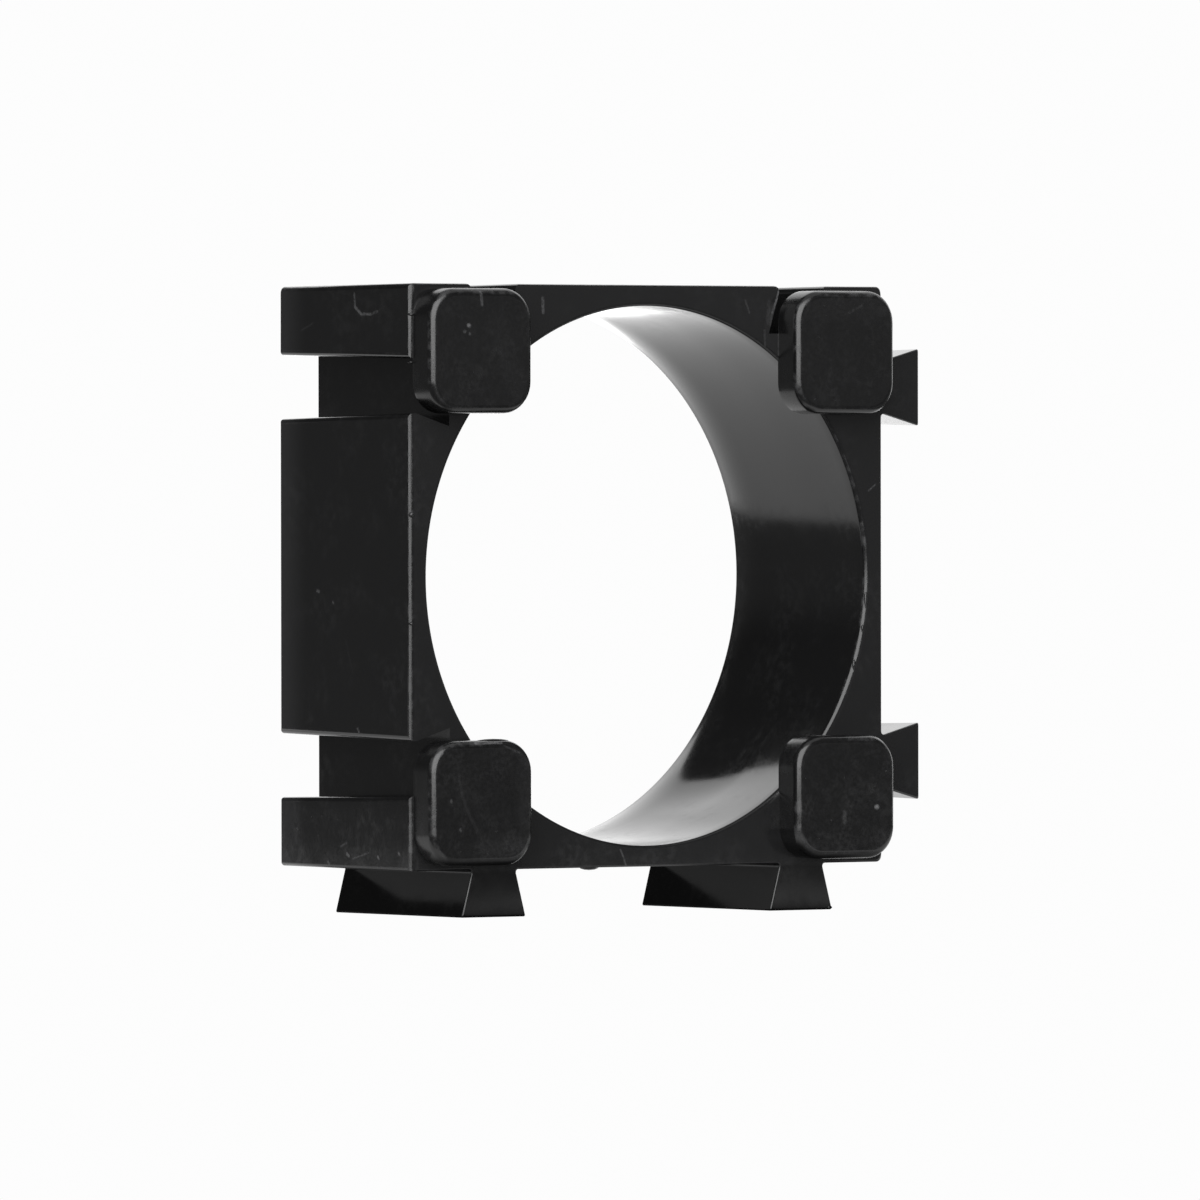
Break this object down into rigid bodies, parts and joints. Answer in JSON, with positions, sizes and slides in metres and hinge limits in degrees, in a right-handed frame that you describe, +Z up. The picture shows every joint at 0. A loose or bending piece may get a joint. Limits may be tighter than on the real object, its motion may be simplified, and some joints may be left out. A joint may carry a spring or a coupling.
{
  "type": "battery cell holder bracket",
  "caption": "Square moulded frame that holds a round cell by its end, with dovetail sides that slide into the next frame and corner pads that stop the cell.",
  "frame": {"origin": "middle of the bounding box at its lowest level, where the two lower tenons stand", "axes": "+Y along the bore, from the corner pads to the back; +X towards the side tenons; +Z up"},
  "size_m": [0.0218, 0.009, 0.0219],
  "materials": {
    "black_plastic": "moulded black plastic with a satin gloss, thin flash at its edges and a few handling marks"
  },
  "bodies": {
    "root": {"cell_holder_bracket": "black_plastic"}
  },
  "joints": []
}
